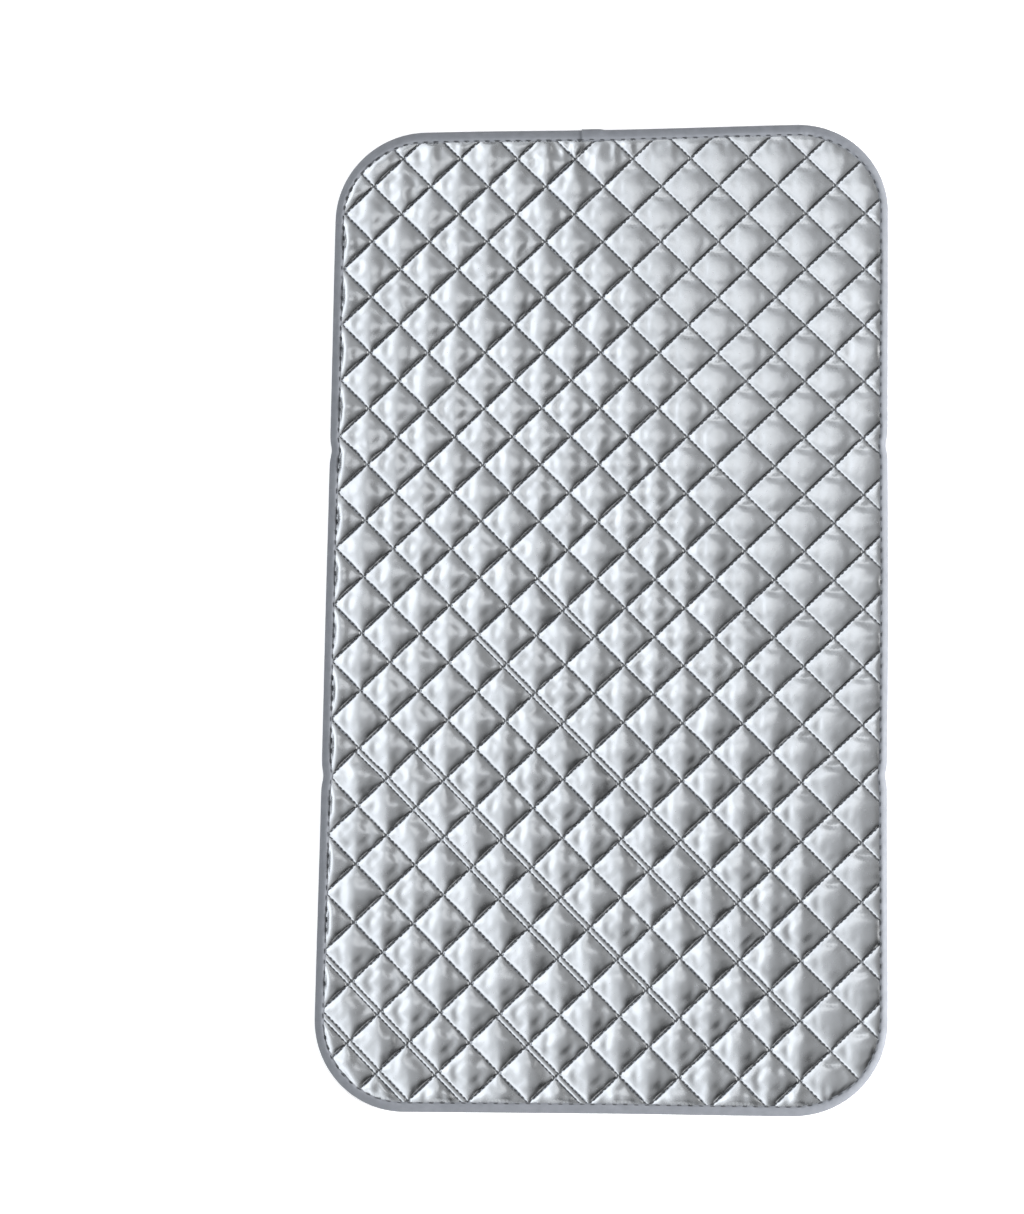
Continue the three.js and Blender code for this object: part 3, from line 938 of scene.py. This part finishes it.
def satin_tape():
    """Satin-woven binding tape: a soft sheen with fine ribs across its length."""
    finish, tree = new_finish("satin_binding_tape")
    run = add_node(tree, "ShaderNodeUVMap", uv_map="tape_run").outputs["UV"]
    shade = mottled(tree, run, size=9, detail=4.0, dark="#6A6D73", light="#84878D")
    # Ribs of the weave, drawn 1.6 mm apart, about four times the real spacing
    ribs = add_node(tree, "ShaderNodeTexWave", {
        "Vector": run, "Scale": wave_scale(1.6), "Distortion": 0.4, "Detail": 1.0,
    }, bands_direction="X")
    ribbed = add_node(tree, "ShaderNodeBump", {
        "Height": ribs.outputs["Fac"], "Strength": 0.4, "Distance": 0.08 * MM,
    })
    shader = add_node(tree, "ShaderNodeBsdfPrincipled", {
        "Base Color": shade, "Metallic": 0.15, "Roughness": 0.45, "Normal": ribbed.outputs["Normal"],
    })
    add_node(tree, "ShaderNodeOutputMaterial", {"Surface": shader.outputs[0]})
    return finish


def thread_dark_with_painted_shade():
    """Spun polyester sewing thread: a little shiny, with the twist of its plies, and dark grey, partly as
    painted shade of its needle holes and seams.
    """
    finish, tree = new_finish("thread_dark_with_painted_shade")
    place = add_node(tree, "ShaderNodeTexCoord").outputs["Object"]
    # Dark grey: partly its own colour, partly painted shade of the needle holes, seams and tape edge
    shade = mottled(tree, place, size=9, detail=2.0, dark="#1F2125", light="#3A3D42")
    # The plies' twist, drawn 0.9 mm apart: diagonal waves lie 1.15 times as far apart as straight ones
    plies = add_node(tree, "ShaderNodeTexWave", {
        "Vector": place, "Scale": wave_scale(0.8),
    }, bands_direction="DIAGONAL")
    twisted = add_node(tree, "ShaderNodeBump", {
        "Height": plies.outputs["Fac"], "Strength": 0.4, "Distance": 0.08 * MM,
    })
    shader = add_node(tree, "ShaderNodeBsdfPrincipled", {
        "Base Color": shade, "Roughness": 0.5, "Sheen Weight": 0.3, "Normal": twisted.outputs["Normal"],
    })
    add_node(tree, "ShaderNodeOutputMaterial", {"Surface": shader.outputs[0]})
    return finish


def plain_backing():
    """Plain-woven polyester and cotton: matt light grey with a visible over-and-under weave."""
    finish, tree = new_finish("plain_woven_backing")
    place = add_node(tree, "ShaderNodeTexCoord").outputs["Object"]
    shade = mottled(tree, place, size=30, detail=4.0, dark="#B9BCBF", light="#CFD1D3")
    # Yarns drawn 1.2 mm wide, about three times the real width
    yarn_width = 1.2
    checks = add_node(tree, "ShaderNodeTexChecker", {"Vector": place, "Scale": 1 / (yarn_width * MM)})
    warp, weft = [
        add_node(tree, "ShaderNodeTexWave", {
            "Vector": place, "Scale": wave_scale(2 * yarn_width),
        }, bands_direction=direction)
        for direction in ("X", "Y")
    ]
    weave = add_node(tree, "ShaderNodeMix", {
        "Factor": checks.outputs["Fac"], "A": warp.outputs["Fac"], "B": weft.outputs["Fac"],
    }, data_type="FLOAT")
    woven = add_node(tree, "ShaderNodeBump", {
        "Height": weave.outputs["Result"], "Strength": 0.5, "Distance": 0.12 * MM,
    })
    shader = add_node(tree, "ShaderNodeBsdfPrincipled", {
        "Base Color": shade, "Roughness": 0.88, "Sheen Weight": 0.2, "Normal": woven.outputs["Normal"],
    })
    add_node(tree, "ShaderNodeOutputMaterial", {"Surface": shader.outputs[0]})
    return finish


def fibre_wadding():
    """Loose polyester fibre: white, soft and uneven."""
    finish, tree = new_finish("polyester_wadding")
    place = add_node(tree, "ShaderNodeTexCoord").outputs["Object"]
    tufts = add_node(tree, "ShaderNodeTexNoise", {"Vector": place, "Scale": 1 / (4 * MM), "Detail": 6.0})
    shade = add_node(tree, "ShaderNodeMix", {
        "Factor": tufts.outputs["Fac"], "A": colour("#E6E4DE"), "B": colour("#F6F5F1"),
    }, data_type="RGBA")
    fluffy = add_node(tree, "ShaderNodeBump", {
        "Height": tufts.outputs["Fac"], "Strength": 0.8, "Distance": 0.6 * MM,
    })
    shader = add_node(tree, "ShaderNodeBsdfPrincipled", {
        "Base Color": shade.outputs["Result"], "Roughness": 1.0, "Normal": fluffy.outputs["Normal"],
    })
    add_node(tree, "ShaderNodeOutputMaterial", {"Surface": shader.outputs[0]})
    return finish


# Studio

def make_floor():
    """A wide white floor that keeps the pad's shadow and shows white to the camera and in reflections."""
    half, drop, glow_strength = 30.0, 0.0002, 0.4
    mesh = bpy.data.meshes.new("studio_floor")
    corners = [(-half, -half), (half, -half), (half, half), (-half, half)]
    mesh.from_pydata([(x, y, -drop) for x, y in corners], [], [(0, 1, 2, 3)])
    floor = bpy.data.objects.new("studio_floor", mesh)
    bpy.context.scene.collection.objects.link(floor)
    finish, tree = new_finish("white_studio_paper")
    paper = add_node(tree, "ShaderNodeBsdfDiffuse", {"Color": colour("#F4F4F4")})
    ray = add_node(tree, "ShaderNodeLightPath")
    seen = add_node(tree, "ShaderNodeMath", {
        0: ray.outputs["Is Camera Ray"], 1: ray.outputs["Is Glossy Ray"],
    }, operation="MAXIMUM")
    lift = add_node(tree, "ShaderNodeMath", {0: seen.outputs[0], 1: glow_strength}, operation="MULTIPLY")
    glow = add_node(tree, "ShaderNodeEmission", {"Strength": lift.outputs[0]})
    both = add_node(tree, "ShaderNodeAddShader", {0: paper.outputs[0], 1: glow.outputs[0]})
    add_node(tree, "ShaderNodeOutputMaterial", {"Surface": both.outputs[0]})
    mesh.materials.append(finish)


def soft_room():
    """The room round the pad: bright on its left, grey on its right and dark at the lower right, with darker
    and brighter patches."""
    # Brightness from the right of the room, at -1, to the left, at 1
    levels = [
        (-1.0, 0.14), (-0.6, 0.32), (-0.1, 0.47), (0.1, 0.62),
        (0.3, 0.98), (0.45, 1.15), (0.7, 1.1), (1.0, 1.0),
    ]
    cool, warm = Vector((0.96, 1.0, 1.04)), Vector((1.02, 1.0, 0.97))
    # Patches: direction, the cosines from it at which they start and are full, and the level that they reach
    dark_patches = {
        "left": ((-0.97, 0.2, 0), 0.86, 0.96, 0.15),
        "back right": ((0.54, 0.84, 0), 0.85, 0.97, 0.25),
        "back": ((-0.1, 1, 0.1), 0.88, 0.97, 0.35),
    }
    bright_patches = {
        "window": ((-0.72, 0.25, 0.64), 0.88, 0.985, 0.6),
        "front left": ((-0.74, -0.44, 0.5), 0.9, 0.98, 0.45),
        "back left": ((-0.65, 0.71, 0.28), 0.9, 0.98, 0.4),
        "front": ((0.1, -0.95, 0.3), 0.8, 0.95, 0.9),
        "front right": ((0.72, -0.66, 0.06), 0.9, 0.97, 2.4),
        "right": ((0.95, 0.19, 0.25), 0.84, 0.94, 6.0),
    }

    world = bpy.data.worlds.new("soft_room")
    world.use_nodes = True
    tree = world.node_tree
    tree.nodes.clear()
    way = add_node(tree, "ShaderNodeTexCoord").outputs["Generated"]

    def patch(direction, start, full, around, within):
        """The level around and within a patch of the room."""
        aim = Vector(direction).normalized()
        cosine = add_node(tree, "ShaderNodeVectorMath", {0: way, 1: aim}, operation="DOT_PRODUCT")
        level = add_node(tree, "ShaderNodeMapRange", {
            "Value": cosine.outputs["Value"], "From Min": start, "From Max": full,
            "To Min": around, "To Max": within,
        }, interpolation_type="SMOOTHSTEP")
        return level.outputs["Result"]

    leftward = add_node(tree, "ShaderNodeVectorMath", {
        0: way, 1: Vector((-1, 0.1, 0)).normalized(),
    }, operation="DOT_PRODUCT")
    share = add_node(tree, "ShaderNodeMapRange", {"Value": leftward.outputs["Value"], "From Min": -1.0})
    ramp = add_node(tree, "ShaderNodeValToRGB", {"Fac": share.outputs["Result"]})
    stops = ramp.color_ramp.elements
    for place, _ in levels[1:-1]:
        stops.new((place + 1) / 2)
    for stop, (place, level) in zip(stops, levels):
        stop.color = (*(level * warm.lerp(cool, (place + 1) / 2)), 1)
    # The lower right of the room is dark, but not near the horizon
    panel = patch((0.75, -0.65, 0), 0.15, 0.7, around=1.0, within=0.03)
    horizon = patch((0, 0, 1), 0.2, 0.42, around=1.0, within=0.0)
    strength = add_node(tree, "ShaderNodeMath", {0: panel, 1: horizon}, operation="MAXIMUM")
    for direction, start, full, level in dark_patches.values():
        strength = add_node(tree, "ShaderNodeMath", {
            0: strength.outputs[0], 1: patch(direction, start, full, around=1.0, within=level),
        }, operation="MULTIPLY")
    for direction, start, full, level in bright_patches.values():
        strength = add_node(tree, "ShaderNodeMath", {
            0: strength.outputs[0], 1: patch(direction, start, full, around=0.0, within=level),
        }, operation="ADD")
    sky = add_node(tree, "ShaderNodeBackground", {
        "Color": ramp.outputs["Color"], "Strength": strength.outputs[0],
    })
    add_node(tree, "ShaderNodeOutputWorld", {"Surface": sky.outputs[0]})
    return world


def light_studio():
    """The soft room, a side lamp for the tape, and a small softbox over the upper right."""
    bpy.context.scene.world = soft_room()
    side_lamp = add_lamp("right_panel", spot=(2.1, -0.55, 0.8), aim=(0, 0, 0), size=1.2, watts=160)
    side_lamp.visible_glossy = False
    add_lamp("softbox", spot=(-0.03, 0.53, 1.46), aim=(0.15, 0.25, 0), size=0.7, watts=0.66)


def add_lamp(name, spot, aim, size, watts):
    """A round soft lamp at a spot, turned to its aim."""
    data = bpy.data.lights.new(name, "AREA")
    data.shape = "DISK"
    data.size = size
    data.energy = watts
    lamp = bpy.data.objects.new(name, data)
    place = Vector(spot)
    turn = (Vector(aim) - place).to_track_quat("-Z", "Y")
    lamp.matrix_world = Matrix.Translation(place) @ turn.to_matrix().to_4x4()
    bpy.context.scene.collection.objects.link(lamp)
    return lamp


def place_camera():
    """The photograph's view: nearly from above, a little from the lower right, with a long lens."""
    distance, azimuth, elevation, roll = 3.6, 32.84 * DEGREE, 77.18 * DEGREE, 0.99 * DEGREE
    aim = Vector((-0.0794, 0.0039, 0))
    focal_pixels, image_height = 4227, 1214
    away = Vector((
        math.sin(azimuth) * math.cos(elevation),
        -math.cos(azimuth) * math.cos(elevation),
        math.sin(elevation),
    ))
    up = Vector((0, 1, 0))
    up = (up - away * up.dot(away)).normalized()
    right = up.cross(away)
    right, up = (
        right * math.cos(roll) + up * math.sin(roll),
        up * math.cos(roll) - right * math.sin(roll),
    )
    data = bpy.data.cameras.new("photo_view")
    data.sensor_width = 36
    data.lens = focal_pixels / image_height * data.sensor_width
    data.clip_start, data.clip_end = 0.1, 100
    camera = bpy.data.objects.new("photo_view", data)
    turn = Matrix((right, up, away)).transposed().to_4x4()
    camera.matrix_world = Matrix.Translation(aim + away * distance) @ turn
    bpy.context.scene.collection.objects.link(camera)
    bpy.context.scene.camera = camera


# The pad

place_camera()
light_studio()
make_floor()

thread = thread_dark_with_painted_shade()
cover_grid = QuiltGrid(COVER_STEPS)
cover, cover_points = make_cover(cover_grid)
cover.data.materials.append(silver_coated_cloth())

backing_grid = QuiltGrid(BACKING_STEPS)
backing, backing_points = make_backing(backing_grid)
backing.data.materials.append(plain_backing())

wadding = make_wadding(cover_grid, cover_points)
wadding.data.materials.append(fibre_wadding())

tape, tape_length, tape_width = make_tape()
tape.data.materials.append(satin_tape())

stitching = stitch_tree()
falling_seams = cover_grid.seam_rows("falling")
falling_seams += cover_grid.beside_seams("falling", SECOND_LINE_STEPS["falling"])
falling_rows = quilting_rows(cover_grid, cover_points, falling_seams, COVER_STITCH_RISE)
rising_rows = quilting_rows(cover_grid, cover_points, cover_grid.seam_rows("rising"), COVER_STITCH_RISE)
falling_stitches = sew("falling_stitches", falling_rows, stitching, thread, **QUILTING_STITCH, seed=3)
rising_stitches = sew("rising_stitches", rising_rows, stitching, thread, **QUILTING_STITCH, seed=4)
tape_rows = [tape_row(TAPE_EDGE + TAPE_STITCH_RISE)]
tape_stitches = sew("tape_stitches", tape_rows, stitching, thread, **TAPE_STITCH, seed=5)
under = [
    sew(f"under_{family}_stitches",
        quilting_rows(backing_grid, backing_points, backing_grid.seam_rows(family), BACKING_STITCH_RISE),
        stitching, thread, **QUILTING_STITCH, sides=5, seed=seed)
    for family, seed in (("falling", 6), ("rising", 7))
]

# What each piece is, stands for and moves with
nodes = sorted(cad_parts)
for piece, slot_name, stood_for in (
    (cover, "silver_cover", ["cover"]),
    (backing, "backing_cloth", ["backing"]),
    (wadding, "wadding", ["wadding"]),
    (tape, "binding_tape", ["binding_tape"]),
    (tape_stitches, "sewing_thread", ["binding_thread"]),
    (falling_stitches, "sewing_thread", [node for node in nodes if node.startswith("falling_thread")]),
    (rising_stitches, "sewing_thread", [node for node in nodes if node.startswith("rising_thread")]),
    (under[0], "sewing_thread", []),
    (under[1], "sewing_thread", []),
):
    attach(piece, "root")
    if stood_for:
        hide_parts(*stood_for)

bpy.context.scene.view_settings.view_transform = "Standard"
